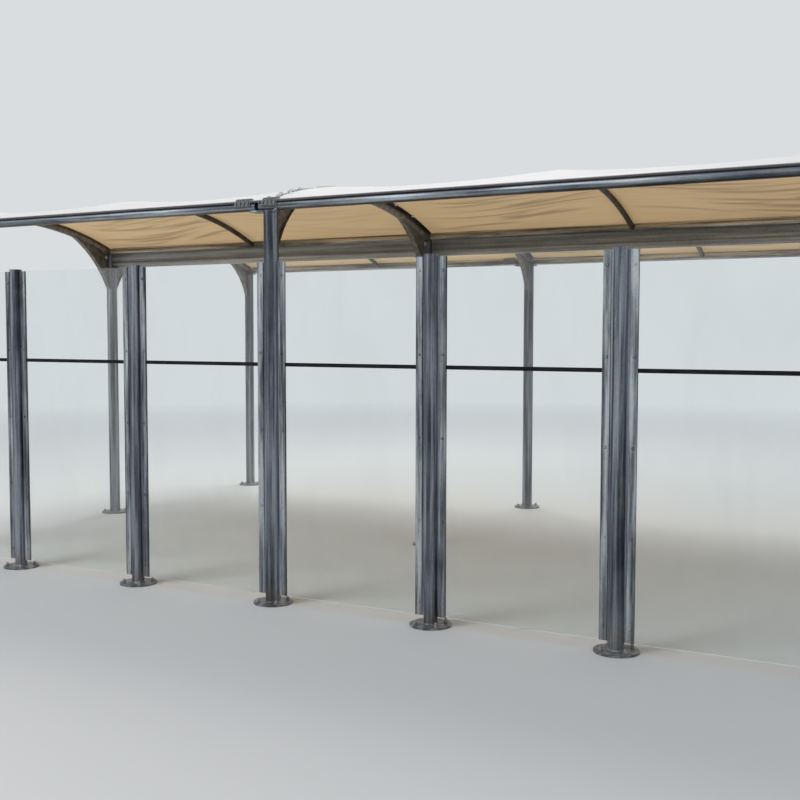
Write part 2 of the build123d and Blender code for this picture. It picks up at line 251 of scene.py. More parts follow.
def mapRange(tree, value, low, high, toLow, toHigh):
    return addNode(tree, "ShaderNodeMapRange",
                   [("Value", value), ("From Min", low), ("From Max", high),
                    ("To Min", toLow), ("To Max", toHigh)]).outputs[0]


def bump(tree, height, strength, distance, after=None):
    inputs = [("Height", height), ("Strength", strength), ("Distance", distance)]
    if after:
        inputs.append(("Normal", after))
    return addNode(tree, "ShaderNodeBump", inputs).outputs[0]


# Hot-dip zinc, for the steel frame
zinc = {
    "light": (0.420, 0.450, 0.470),
    "middle": (0.135, 0.152, 0.166),
    "dark": (0.036, 0.045, 0.054),
    "stops": (0.39, 0.48, 0.62),  # of the streaks, partly the zinc's own and partly painted reflections, where they are dark, middle and light
    "metal": 0.60,
    "rough": (0.34, 0.58),
    "streak": 24.0,  # streaks per metre
    "relief": (0.14, 0.002),  # strength and depth of the streaks
    "patch": 3.2,  # patches per metre
    "patchRange": (0.4, 0.75),  # of the noise, where a patch starts and is full
    "patchShare": 0.3,
    "glossRange": (0.3, 0.7),
    "spangle": 85.0,  # zinc crystals per metre
    "spangleShare": 0.16,
    "edgeFade": 0.003,  # in how far the painted shade on the lacing bar at an arch's edges sets in
    "dust": (0.250, 0.190, 0.125),  # of what settles near the ground
    "dustTop": 0.10,
    "dustShare": 0.22,
    "dustRagged": 0.12,  # how far its upper edge wanders
}


def galvanised(name, spread, tint, dusty=False, shadingBands=None, calm=0.0, edge=None):
    # Long streaks that follow the bar, partly the zinc's own and partly painted reflections, small
    # crystals over them, and a patchy gloss. spread squeezes the streaks, with its smallest number along
    # the bar. The bands, (low, high, stops), are tints of painted shade and painted light between two
    # heights. calm evens out the streaks, and edge is a tint of painted shade for what stands out
    # sideways from the plane of an arch, the lacing bar.
    material, tree, shader = newMaterial(name)
    streaks = objectPattern(tree, "ShaderNodeTexNoise", zinc["streak"], spread, Detail=5.0, Roughness=0.62)
    patches = objectPattern(tree, "ShaderNodeTexNoise", zinc["patch"], Detail=3.0)
    crystals = objectPattern(tree, "ShaderNodeTexVoronoi", zinc["spangle"], output="Color")
    colour = colourRamp(tree, streaks, zip(zinc["stops"], (zinc["dark"], zinc["middle"], zinc["light"])))
    patchShare = mapRange(tree, patches, *zinc["patchRange"], 0.0, zinc["patchShare"])
    colour = mixColour(tree, patchShare, colour, zinc["light"])
    if calm:
        colour = mixColour(tree, calm, colour, zinc["middle"])
    colour = mixColour(tree, zinc["spangleShare"], colour, crystals, "SOFT_LIGHT")
    colour = mixColour(tree, 1.0, colour, tint, "MULTIPLY")
    # Painted shade and painted light, as tints between two heights
    if shadingBands:
        low, high, stops = shadingBands
        paintedShading = colourRamp(tree, mapRange(tree, placeSocket(tree, 2), low, high, 0.0, 1.0), stops)
        colour = mixColour(tree, 1.0, colour, paintedShading, "MULTIPLY")
    if edge:
        # X folded at half a module is the distance from the nearest arch, whose tube is like an eave's.
        # Past the tube, on the lacing bar, the edge tint is painted shade
        away = addNode(tree, "ShaderNodeMath", [(0, placeSocket(tree, 0)), (1, rightX / 2)],
                       operation="PINGPONG").outputs[0]
        radius = shelter["eaveRadius"]
        past = mapRange(tree, away, radius, radius + zinc["edgeFade"], 0.0, 1.0)
        colour = mixColour(tree, 1.0, colour, mixColour(tree, past, (1, 1, 1), edge), "MULTIPLY")
    if dusty:
        ragged = addNode(tree, "ShaderNodeMath", [(0, patches), (1, zinc["dustRagged"])],
                         operation="MULTIPLY").outputs[0]
        level = addNode(tree, "ShaderNodeMath", [(0, placeSocket(tree, 2)), (1, ragged)],
                        operation="SUBTRACT").outputs[0]
        dustShare = mapRange(tree, level, 0.0, zinc["dustTop"], zinc["dustShare"], 0.0)
        colour = mixColour(tree, dustShare, colour, zinc["dust"])
    rough = mapRange(tree, patches, *zinc["glossRange"], *zinc["rough"])
    setInputs(tree, shader, [("Base Color", colour), ("Roughness", rough), ("Metallic", zinc["metal"]),
                             ("Normal", bump(tree, streaks, *zinc["relief"]))])
    return material


# Coated cloth
membraneLook = {
    "top": (0.84, 0.86, 0.87),
    "topSoiled": (0.74, 0.74, 0.72),
    # Painted shade in the creases of the top
    "topCreaseShade": (0.77, 0.78, 0.79),
    "soiledRange": (0.5, 0.8),
    "soiledShare": 0.45,
    # The underside's warm tan is a painted glow of daylight through the cloth
    "under": (0.860, 0.660, 0.435),
    "underPale": (0.900, 0.735, 0.520),
    "underDeep": (0.710, 0.525, 0.330),
    "underStops": (0.36, 0.49, 0.64),  # of the streaks, painted shade and light of wrinkles, where they are deep, middle and pale
    # Painted shade in the creases of the underside
    "underCreaseShade": (0.085, 0.047, 0.022),
    "evenRange": (0.4, 0.75),  # of the patches, which even out the streaks
    "evenShare": 0.35,
    "creaseShadeShare": 0.95,
    "hem": (0.045, 0.055, 0.075),  # painted shade on the eave hem's outer face and lips
    "glow": (0.97, 0.82, 0.60),  # of daylight that comes through
    "through": (0.24, 0.55),  # share of the light that does, at the top and the underside
    "streakSpread": (0.9, 12.0, 1.0),  # along the module, and across it
    "streak": 1.6,
    "streakRelief": (0.25, 0.006),
    "patch": 1.3,  # patches per metre
    "weave": 700.0,  # threads per metre
    "weaveRelief": (0.12, 0.0004),
    "rough": 0.62,
    "sheen": 0.15,
}


def membraneMaterial(name, underside):
    # A fine square weave, painted shade in the piece's own creases and along the eave hem, and streaks
    # and soiling in soft patches; on the underside the streaks are painted shade and light of wrinkles
    look = membraneLook
    material, tree, shader = newMaterial(name)
    cloth = addNode(tree, "ShaderNodeUVMap", uv_map="cloth").outputs[0]
    weave = addNode(tree, "ShaderNodeTexChecker", [("Vector", cloth), ("Scale", look["weave"])]).outputs[1]
    stretched = addNode(tree, "ShaderNodeMapping", [("Vector", cloth), ("Scale", look["streakSpread"])])
    streaks = addNode(tree, "ShaderNodeTexNoise",
                      [("Vector", stretched.outputs[0]), ("Scale", look["streak"]), ("Detail", 6.0),
                       ("Roughness", 0.6), ("Distortion", 0.5)]).outputs[0]
    patches = objectPattern(tree, "ShaderNodeTexNoise", look["patch"], Detail=4.0)
    # Painted shade along the creases
    creaseShade = addNode(tree, "ShaderNodeAttribute", attribute_name="creaseShade").outputs["Fac"]
    creaseShadeShare = mapRange(tree, creaseShade, 0.0, 1.0, 0.0, look["creaseShadeShare"])
    if underside:
        # Painted glow of daylight through the cloth, with streaks of painted wrinkle shading
        stops = zip(look["underStops"], (look["underDeep"], look["under"], look["underPale"]))
        even = mapRange(tree, patches, *look["evenRange"], 0.0, look["evenShare"])
        colour = mixColour(tree, even, colourRamp(tree, streaks, stops), look["under"])
        colour = mixColour(tree, creaseShadeShare, colour, look["underCreaseShade"])
    else:
        soiled = mapRange(tree, patches, *look["soiledRange"], 0.0, look["soiledShare"])
        colour = mixColour(tree, soiled, look["top"], look["topSoiled"])
        colour = mixColour(tree, creaseShadeShare, colour, look["topCreaseShade"])
        # Painted shade along the eave hem
        hem = addNode(tree, "ShaderNodeAttribute", attribute_name="hem").outputs["Fac"]
        colour = mixColour(tree, hem, colour, look["hem"])
    folds = bump(tree, streaks, *look["streakRelief"])
    setInputs(tree, shader, [("Base Color", colour), ("Roughness", look["rough"]),
                             ("Sheen Weight", look["sheen"]),
                             ("Normal", bump(tree, weave, *look["weaveRelief"], folds))])
    glow = addNode(tree, "ShaderNodeBsdfTranslucent", [("Color", (*look["glow"], 1)), ("Normal", folds)])
    mixed = mixShader(tree, look["through"][underside], shader.outputs[0], glow.outputs[0])
    setInputs(tree, tree.nodes["Material Output"], [(0, mixed)])
    return material


# The screen
glassLook = {
    "body": (0.92, 0.965, 0.965),
    "index": 1.46,
    "shadow": (0.94, 0.97, 0.97),  # what light keeps that passes to the floor
    "smear": 2.4,  # smears per metre
    "smearSpread": (1, 1, 0.5),
    "roughRange": (0.45, 0.8),
    "rough": (0.0, 0.04),
    "film": (0.60, 0.62, 0.60),  # of dust and water marks
    "filmRange": (0.4, 0.8),
    "filmShare": (0.010, 0.060),
}


def glassMaterial(name):
    # Clear toughened glass with a faint green-blue body, slight unevenness and a film of dust
    material, tree, shader = newMaterial(name)
    smears = objectPattern(tree, "ShaderNodeTexNoise", glassLook["smear"], glassLook["smearSpread"],
                           Detail=5.0, Distortion=0.8)
    rough = mapRange(tree, smears, *glassLook["roughRange"], *glassLook["rough"])
    setInputs(tree, shader, [("Base Color", (*glassLook["body"], 1)), ("Transmission Weight", 1.0),
                             ("IOR", glassLook["index"]), ("Roughness", rough)])
    film = addNode(tree, "ShaderNodeBsdfDiffuse", [("Color", (*glassLook["film"], 1))])
    filmShare = mapRange(tree, smears, *glassLook["filmRange"], *glassLook["filmShare"])
    dusty = mixShader(tree, filmShare, shader.outputs[0], film.outputs[0])
    rays = addNode(tree, "ShaderNodeLightPath")
    clear = addNode(tree, "ShaderNodeBsdfTransparent", [("Color", (*glassLook["shadow"], 1))])
    passing = mixShader(tree, rays.outputs["Is Shadow Ray"], dusty, clear.outputs[0])
    setInputs(tree, tree.nodes["Material Output"], [(0, passing)])
    return material


# Small parts: a fine noise mixes the deep and the pale colour of each
smallLook = {
    "range": (0.3, 0.7),
    "rubber": {"grain": 60.0, "spread": (0.2, 1, 1), "rough": 0.8, "specular": 0.12,
               "relief": (0.15, 0.001)},
    "rope": {"grain": 240.0, "rough": 0.8, "relief": (0.5, 0.001)},
    "steel": {"grain": 150.0, "rough": (0.28, 0.5), "metal": 0.85},
    "blackRubber": ((0.006, 0.006, 0.007), (0.022, 0.022, 0.024)),
    "whiteRope": ((0.66, 0.65, 0.62), (0.92, 0.91, 0.88)),
    "greyRope": ((0.10, 0.11, 0.12), (0.36, 0.36, 0.36)),
    "boltSteel": ((0.24, 0.25, 0.26), (0.46, 0.47, 0.48)),
    "paleSteel": ((0.66, 0.66, 0.64), (0.86, 0.86, 0.84)),
    "eyeletSteel": ((0.52, 0.52, 0.50), (0.80, 0.80, 0.78)),
}


def rubberMaterial(name):
    look = smallLook["rubber"]
    material, tree, shader = newMaterial(name)
    grain = objectPattern(tree, "ShaderNodeTexNoise", look["grain"], look["spread"], Detail=4.0)
    colour = colourRamp(tree, grain, zip(smallLook["range"], smallLook[name]))
    setInputs(tree, shader, [("Base Color", colour), ("Roughness", look["rough"]),
                             ("Specular IOR Level", look["specular"]),
                             ("Normal", bump(tree, grain, *look["relief"]))])
    return material


def ropeMaterial(name):
    # Braided cord, more or less grey with weather
    look = smallLook["rope"]
    material, tree, shader = newMaterial(name)
    fleck = objectPattern(tree, "ShaderNodeTexNoise", look["grain"], Detail=2.0)
    colour = colourRamp(tree, fleck, zip(smallLook["range"], smallLook[name]))
    setInputs(tree, shader, [("Base Color", colour), ("Roughness", look["rough"]),
                             ("Normal", bump(tree, fleck, *look["relief"]))])
    return material


def brightSteel(name):
    look = smallLook["steel"]
    material, tree, shader = newMaterial(name)
    wear = objectPattern(tree, "ShaderNodeTexNoise", look["grain"], Detail=3.0)
    colour = colourRamp(tree, wear, zip(smallLook["range"], smallLook[name]))
    rough = mapRange(tree, wear, *smallLook["range"], *look["rough"])
    setInputs(tree, shader, [("Base Color", colour), ("Metallic", look["metal"]), ("Roughness", rough)])
    return material


# Painted shading, as tints from the bottom of a bar (0) to its top (1): painted shade along the
# front eave tube's underside and along its top under the hem, and on the gutter a painted highlight
# along its lower band with a painted shade line above it
paintedShadingBands = {
    "eave": [(0.10, (0.34, 0.29, 0.25)), (0.26, (1.0, 1.0, 1.0)), (0.66, (1.0, 1.0, 1.0)),
             (0.80, (0.13, 0.17, 0.24))],
    "gutter": [(0.28, (1.60, 1.56, 1.52)), (0.35, (0.75, 0.73, 0.71)), (0.46, (1.0, 1.0, 1.0))],
}
# Heights of the front eave tube and the gutter, over which their painted shading runs
gutterLow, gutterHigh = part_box("valley_gutter_left")
frontAxis, tubeRadius = eaveAxis[sides["front"]], shelter["eaveRadius"]
frontShadingBands = (frontAxis - tubeRadius, frontAxis + tubeRadius, paintedShadingBands["eave"])
gutterShadingBands = (gutterLow.z, gutterHigh.z, paintedShadingBands["gutter"])

# How streaks are squeezed on bars along X, on upright bars, on clamps and on arches
alongX, upright, clamped, arched = (0.03, 1, 1), (1, 1, 0.03), (1, 1, 0.05), (1.2, 0.8, 0.8)
barLooks = {
    "postZinc": {"spread": upright, "tint": (0.74, 0.755, 0.80), "dusty": True},
    "frontTubeZinc": {"spread": alongX, "tint": (1.12, 1.12, 1.14), "shadingBands": frontShadingBands},
    "backTubeZinc": {"spread": alongX, "tint": (1.75, 1.50, 1.28)},
    # The valley tubes' warm tint is painted warm light through the cloth
    "valleyTubeZinc": {"spread": alongX, "tint": (1.45, 1.20, 0.92)},
    "clampZinc": {"spread": clamped, "tint": (1.12, 1.12, 1.11), "dusty": True},
    # The gutter's warm tint is painted warm light through the cloth
    "gutterZinc": {"spread": alongX, "tint": (1.40, 1.27, 1.12), "shadingBands": gutterShadingBands, "calm": 0.62},
    # The arches' warm tint is painted warm light through the cloth, and their edge tint is painted shade on
    # the lacing bar
    "archZinc": {"spread": arched, "tint": (1.20, 0.98, 0.80), "calm": 0.68, "edge": (0.22, 0.15, 0.13)},
    # The ribs' dark brown is painted shade on zinc like the rest of the frame
    "ribZinc": {"spread": arched, "tint": (0.34, 0.24, 0.16), "calm": 0.45},
}
bars = {name: galvanised(name, **look) for name, look in barLooks.items()}
topCloth = membraneMaterial("topCloth", False)
underCloth = membraneMaterial("underCloth", True)
clearGlass = glassMaterial("clearGlass")
blackRubber = rubberMaterial("blackRubber")
whiteRope, greyRope = ropeMaterial("whiteRope"), ropeMaterial("greyRope")
boltSteel, paleSteel, eyeletSteel = map(brightSteel, ("boltSteel", "paleSteel", "eyeletSteel"))

# The first of these words in a node's name says its finish
finishes = {
    "canopy": underCloth,
    "pane": clearGlass,
    "joint_strips": blackRubber,
    "clamps": bars["clampZinc"],
    "arch": bars["archZinc"],
    "_rib_": bars["ribZinc"],
    "gutter": bars["gutterZinc"],
    "valley_tubes": bars["valleyTubeZinc"],
    "front_eave": bars["frontTubeZinc"],
    "back_eave": bars["backTubeZinc"],
    "post": bars["postZinc"],
}
for nodeName, nodeObject in cadNodes.items():
    finish = next(material for word, material in finishes.items() if word in nodeName)
    nodeObject.data.materials.clear()
    nodeObject.data.materials.append(finish)
print("finishes set on the packed nodes")


# The vaults' shape
vault = {
    "rise": 0.205,  # of the cloth over its edges, at an arch or a rib
    "sag": 0.047,  # how far it dips between them
    "flat": 0.067,  # half the width of the flat strip over an arch
    "endLap": 0.040,  # from the plane of an end arch out to the cloth's edge
    "middleLap": 0.022,  # from the plane of the middle arch to it
    "barHalf": 0.055,  # half the width of the lacing bar
    "barDepth": 0.0063,  # from the cloth to the bar's lower face
}


def chordEnds(side):
    # Where the cloth meets the eave rail and the valley rail, in Y and Z, as for the front vault
    eave = np.array([-shelter["rowY"] - shelter["railHalf"], eaveZ[side]])
    valley = np.array([shelter["railHalf"] - shelter["valleyY"], valleyZ])
    return eave, valley


def vaultPoint(side, share, rise, offset):
    # An arc over the chord from the eave rail to the valley rail. With half chord h, its radius is
    # (h^2 + rise^2) / (2 rise); share runs from -1 at the eave to 1 at the valley, and offset is
    # outwards along the radius.
    eave, valley = chordEnds(side)
    chord = valley - eave
    half = np.hypot(*chord) / 2
    direction = chord / (2 * half)
    normal = np.array([-direction[1], direction[0]])
    radius = (half ** 2 + rise ** 2) / (2 * rise)
    angle = share * np.arcsin(half / radius)
    middle = (eave + valley) / 2
    across = np.sin(angle) * (radius + offset)
    up = np.cos(angle) * (radius + offset) - (radius - rise)
    y = middle[0] + direction[0] * across + normal[0] * up
    z = middle[1] + direction[1] * across + normal[1] * up
    return -side * y, z


# The four cloths
canopy = {
    "stretches": (14, 64, 64, 14),  # grid steps: over an arch, to the rib, to the next arch, over it
    "rows": 190,  # grid lines from eave to valley
    "thickness": 0.0022,
    "overhang": 0.014,  # past the rail
    "lipRows": 6,  # of the hem that turns down over the rail
    "lipRadius": 0.007,
    "lipTurn": 0.8,  # share of the lip's rows that the quarter circle takes
    "lipDrop": 0.004,  # of the straight stretch after it
    "postGap": 0.0025,  # round the cap of a valley post, where the cloth is cut out
    "hemTop": 0.010,  # of the painted shade on the eave hem, up the slope from the rail
    "hemFade": 0.010,
    "hemEnd": (0.4, 0.1),  # how dark it is at an arch, and in how far it gets full
    "seed": 11,
}
creasing = {
    "count": 42,  # in each half of a cloth, between an arch and the rib
    "levels": (0.10, 2.05),  # where they lie, from 0 at the eave to 2 at the valley
    "depth": (0.0018, 0.0042),
    "width": (0.019, 0.030),  # in metres across the crease
    "reach": (0.15, 0.55),  # half its length
    "strength": (0.6, 1.3),
    "drift": 0.018,  # how far it wanders, as a share of the half chord
    "bends": 1.7,  # how often it does, in radians for each reach
    "darkPower": 1.3,  # above 1, the painted shade line is narrower than the fold
    "gather": 0.12,  # how far the creases draw in to the eave end of the rib
    "gatherReach": 0.85,
    "spans": {"left": (0.25, 1.35), "right": (0.30, 1.65)},  # of their middles from the rib
    "pulls": {"left": (1.0, 0.22), "right": (1.0, 1.0)},  # strength before the rib, and past it
    "wave": 0.0013,  # height of the slow waves
    "waveCounts": (9.0, 14.0, 21.0),
    "waveFall": 6.0,  # the larger, the higher the short waves
    "waveBend": (1, 3),
    "archFade": 0.12,  # how far from an arch the cloth lies smooth
    "ribFade": (0.03, 0.12),  # it starts to crease here, and is fully creased there
    "edgeFade": 0.07,  # share of the half chord next to a rail
}


def creasePattern(x, share, rib, halfChord, place, generator):
    # Each crease is a bell curve, exp(-u^2), in the distance u from a line that runs along X. The
    # lines draw together towards the eave end of the rib, and each fades out along X as exp(-v^4).
    # Returns how far the cloth stands out, and how dark the painted shade in the crease is.
    depth = np.zeros(np.broadcast(x, share).shape)
    dark = np.zeros_like(depth)
    gather = creasing["gather"] * np.exp(-((x - rib) / creasing["gatherReach"]) ** 2)
    spread = (share + 1) / (1 - gather)
    lowest, highest = creasing["levels"]
    for half, pull in zip((-1, 1), creasing["pulls"][place]):
        for line in range(creasing["count"]):
            turn = (line + generator.uniform(0.1, 0.9)) / creasing["count"]
            level = lowest + (highest - lowest) * turn
            middle = rib + half * generator.uniform(*creasing["spans"][place])
            reach = generator.uniform(*creasing["reach"])
            width = generator.uniform(*creasing["width"]) / halfChord
            phase = generator.uniform(0, 2 * math.pi)
            strength = pull * generator.uniform(*creasing["strength"])
            wander = creasing["drift"] * np.sin(creasing["bends"] * (x - middle) / reach + phase)
            bell = np.exp(-((spread - level - wander) / width) ** 2)
            along = np.exp(-((x - middle) / reach) ** 4) * strength
            depth += generator.uniform(*creasing["depth"]) * bell * along
            dark += bell ** creasing["darkPower"] * along
    return depth, np.clip(dark, 0, 1)


def slowWaves(x, share, width, generator):
    # A sum of sines of share, with a phase that swings twice with x: sin(n pi s / 2 + b cos 4 pi x / w)
    total = np.zeros(np.broadcast(x, share).shape)
    fall = creasing["waveFall"]
    for count in creasing["waveCounts"]:
        phase, bend = generator.uniform(0, 2 * math.pi), generator.uniform(*creasing["waveBend"])
        lean = bend * np.cos(4 * math.pi * x / width + phase)
        total += np.sin(count * math.pi * share / 2 + lean + phase) * fall / (count + fall)
    return creasing["wave"] * total


def stationsAlong(start, end):
    # The cloth's columns along X, from an arch over the rib to the next arch, and the dip at each:
    # a parabola, 4 h (1 - h), that is 0 over the arches and the rib and 1 half way between
    low = start - vault["endLap"] if start == leftX else start + vault["middleLap"]
    high = end + vault["endLap"] if end == rightX else end - vault["middleLap"]
    rib = (start + end) / 2
    stops = [low, start + vault["flat"], rib, end - vault["flat"], high]
    runs = [np.linspace(a, b, steps, endpoint=False)
            for a, b, steps in zip(stops, stops[1:], canopy["stretches"])]
    x = np.concatenate([*runs, [high]])[:, None]
    half = np.clip(np.abs(x - rib) / (rib - stops[1]), 0, 1)
    return x, 4 * half * (1 - half), rib


def sharesAcross(x, start, end, halfChord):
    # The share at each row of each column. The valley edge runs back round the caps of the posts.
    clear = shelter["capRadius"] + canopy["postGap"]
    overhang = np.full_like(x, canopy["overhang"])
    for post in (start, end):
        edge = np.sqrt(np.clip(clear ** 2 - (x - post) ** 2, 0, None))
        overhang = np.minimum(overhang, shelter["valleyY"] - shelter["railHalf"] - edge)
    lowShare = -1 - canopy["overhang"] / halfChord
    highShare = 1 + overhang / halfChord
    rows = np.linspace(0, 1, canopy["rows"])[None, :]
    return lowShare + rows * (highShare - lowShare)


def smoothShare(share, fromArch, fromRib):
    # 1 where the cloth is free to crease, and 0 along its frame
    ribLow, ribHigh = creasing["ribFade"]
    free = np.clip((fromArch - vault["flat"]) / creasing["archFade"], 0, 1)
    free = free * np.clip((fromRib - ribLow) / (ribHigh - ribLow), 0, 1)
    return free * np.clip((1 - np.abs(share)) / creasing["edgeFade"], 0, 1)


def withLips(y, z, offset, side):
    # The hems: a quarter circle over the rail's outer corner, then a short straight drop
    drop = np.linspace(0, 1, canopy["lipRows"] + 1)[None, 1:]
    lipTurn = canopy["lipTurn"]
    turn = np.clip(drop / lipTurn, 0, 1) * math.pi / 2
    straight = canopy["lipDrop"] * np.clip((drop - lipTurn) / (1 - lipTurn), 0, 1)
    reach = canopy["lipRadius"] + offset
    outward, down = side * reach * np.sin(turn), reach * (1 - np.cos(turn)) + straight
    y = np.hstack([(y[:, :1] + outward)[:, ::-1], y, y[:, -1:] - outward])
    z = np.hstack([(z[:, :1] - down)[:, ::-1], z, z[:, -1:] - down])
    return y, z


def sheetShape(inner, outer, side):
    # Two grids of points, one over the other, joined round their border
    lines, columns = inner.shape[:2]
    count = lines * columns
    innerFaces = gridFaces(lines, columns)
    outerFaces = innerFaces + count
    border = np.concatenate([
        np.arange(columns - 1),
        np.arange(lines - 1) * columns + columns - 1,
        np.arange(count - 1, count - columns, -1),
        np.arange(lines - 1, 0, -1) * columns,
    ])
    after = np.roll(border, -1)
    rim = np.stack([border, after, after + count, border + count], 1)
    if side > 0:
        outerFaces = outerFaces[:, ::-1]
    else:
        innerFaces, rim = innerFaces[:, ::-1], rim[:, ::-1]
    return np.vstack([inner.reshape(-1, 3), outer.reshape(-1, 3)]), [innerFaces, outerFaces, rim]


def clothMaps(piece, inner, marks):
    # The cloth's own coordinates in metres, along X and along the arc, and a value at each point for
    # each mark. Both faces take the inner face's. Returns the length of the arc.
    step = np.linalg.norm(np.diff(inner[:, :, 1:], axis=1), axis=2)
    arc = np.hstack([np.zeros((len(inner), 1)), np.cumsum(step, axis=1)])
    flat = np.stack([inner[:, :, 0], arc], 2).reshape(-1, 2)
    cornerPoints = np.empty(len(piece.data.loops), np.int32)
    piece.data.loops.foreach_get("vertex_index", cornerPoints)
    uv = piece.data.uv_layers.new(name="cloth")
    uv.data.foreach_set("uv", flat[cornerPoints % len(flat)].astype(np.float32).ravel())
    for label, values in marks.items():
        mark = piece.data.attributes.new(label, "FLOAT", "POINT")
        mark.data.foreach_set("value", np.tile(values.ravel(), 2).astype(np.float32))
    return float(arc[:, -1].mean())


def canopySheet(name, place, side, generator):
    # A cloth over one module: the vault's arc in every cross-section, with a rise that dips between
    # the arches and the rib, and creases and slow waves along the normal
    start, end = modules[place]
    x, dip, rib = stationsAlong(start, end)
    width = float(x[-1, 0] - x[0, 0])
    eave, valley = chordEnds(side)
    halfChord = np.hypot(*(valley - eave)) / 2
    share = sharesAcross(x, start, end, halfChord)
    rise = vault["rise"] - vault["sag"] * dip
    fromArch = np.minimum(np.abs(x - start), np.abs(x - end))
    free = smoothShare(share, fromArch, np.abs(x - rib))
    # dark is the painted shade in the creases
    depth, dark = creasePattern(x, share, rib, halfChord, place, generator)
    ripple = (depth + slowWaves(x - x[0], share, width, generator)) * free
    layers = []
    for offset in (0.0, canopy["thickness"]):
        y, z = withLips(*vaultPoint(side, share, rise, offset + ripple), offset, side)
        layers.append(np.stack([np.broadcast_to(x, y.shape), y, z], 2))
    points, faces = sheetShape(*layers, side)
    piece = makePiece(name, points, faces, underCloth, "membrane")
    piece.data.materials.append(topCloth)
    materialNumber = np.repeat([0, 1, 1], [len(block) for block in faces]).astype(np.int32)
    piece.data.polygons.foreach_set("material_index", materialNumber)
    # Painted shade on the eave lips and on the cloth's lowest strip next to the eave rail
    endDark, endReach = canopy["hemEnd"]
    hem = np.clip((canopy["hemTop"] - (share + 1) * halfChord) / canopy["hemFade"], 0, 1)
    hem = hem * np.clip(fromArch / endReach + endDark, 0, 1)
    lip = np.zeros((len(x), canopy["lipRows"]))
    marks = {"creaseShade": np.hstack([lip, dark * free, lip]), "hem": np.hstack([lip + 1, hem, lip])}
    return piece, width, clothMaps(piece, layers[0], marks)


generator = np.random.default_rng(canopy["seed"])
for sideName, side in sides.items():
    for place in modules:
        sheet, width, depth = canopySheet(f"{sideName}Membrane{place.title()}", place, side, generator)
        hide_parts(f"{sideName}_canopy_{place}")
        print("membrane", sheet.name, "flat", round(width, 3), round(depth, 3))


# Lacing along the arches
lacing = {
    "eyelets": 7,  # along each edge of an arch
    "first": -0.853,  # share of the first one, and how far apart they are
    "step": 0.255,
    "eyeletX": 0.068,  # from the middle arch's plane, beside the bar
    "endEyeletX": 0.030,  # from an end arch's, over its bar
    "ring": ((0.0065, -0.0012), (0.0065, 0.0036), (0.0085, 0.0048), (0.0125, 0.0040),
             (0.0130, 0.0024), (0.0130, -0.0002), (0.0125, -0.0018), (0.0085, -0.0026)),
    "ringSides": 20,
    "cord": 0.0034,  # its radius
    "cordSides": 7,
    "loopSides": 8,
    "over": 0.0066,  # of the cord's axis over the cloth's lower face
    "turns": (-1.5, -0.5, 0.5),  # of the zigzag at one eyelet, in pitches
    "pitch": 0.0074,
    "overX": (0.045, 0.060),  # where it comes down from over the bar
    "downX": 0.063,  # where it goes down beside it
    "lean": 0.004,  # how far it leans out on its way
    "hook": 0.011,  # how far it reaches back under the bar
    "underGap": 0.0012,  # from the bar's lower face
    "loopGap": (0.002, 0.001),  # of a loop on an end arch, beside the bar and under it
    "loopDrop": 0.002,  # of its outer corner
}


def archFrame(side, share):
    # At each share: the place on the cloth's lower face, and the direction outwards from it in the
    # plane of Y and Z, worked out from a point a little further on
    ahead = 0.001
    y, z = vaultPoint(side, share, vault["rise"], 0.0)
    aheadY, aheadZ = vaultPoint(side, share + ahead, vault["rise"], 0.0)
    along = np.stack([0 * y, aheadY - y, aheadZ - z], 1)
    along /= np.linalg.norm(along, axis=1, keepdims=True)
    outward = np.cross([1.0, 0.0, 0.0], along)
    outward *= np.sign(outward[:, 2:])
    return np.stack([0 * y, y, z], 1), outward


def onArch(side, frameX, x, share, offset):
    # Points given by their X from the arch's plane, their share along it and their height over the cloth
    place, outward = archFrame(side, share)
    return place + np.stack([frameX + x, 0 * x, 0 * x], 1) + outward * np.asarray(offset)[:, None]


def eyeletShares(shift):
    return lacing["first"] + lacing["step"] * (np.arange(lacing["eyelets"]) + shift)


def alongEyelets(shape, side, x, sign, shift):
    # The same shape at every eyelet of an edge, with its Z along the cloth's normal and its X
    # outwards along sign
    place, outward = archFrame(side, eyeletShares(shift))
    place[:, 0] = x
    across = np.tile([float(sign), 0.0, 0.0], (len(place), 1))
    return scatter(shape, place, np.stack([across, np.cross(outward, across), outward], 2))


def zigzagCord(side, frameX):
    # The cord runs over the middle arch from eyelet to eyelet. At each it makes three turns, down
    # beside the bar, under its edge and up again.
    over, out, (inX, outX) = lacing["over"], lacing["downX"], lacing["overX"]
    under = -vault["barDepth"] - lacing["cord"] - lacing["underGap"]
    down = [(inX, over), (outX, over), (out + lacing["lean"], 0.0), (out, under)]
    loop = [*down, (out - lacing["hook"], under), *down[::-1]]
    x, height = np.array(loop).T
    eave, valley = chordEnds(side)
    pitchShare = lacing["pitch"] / ((valley[0] - eave[0]) / 2)
    slip = np.linspace(0, pitchShare, len(x))
    rows = []
    for number in range(lacing["eyelets"]):
        for sign, shift in ((1, 0.0), (-1, 0.5)):
            for turn in lacing["turns"]:
                share = eyeletShares(shift)[number] + slip + turn * pitchShare
                rows.append(np.stack([sign * x, share, height], 1))
    route = rounded(np.vstack(rows), passes=2)
    points = onArch(side, frameX, *route.T)
    return tubeAlong(points, lacing["cord"], lacing["cordSides"], (0.0, 1.0, 0.0))


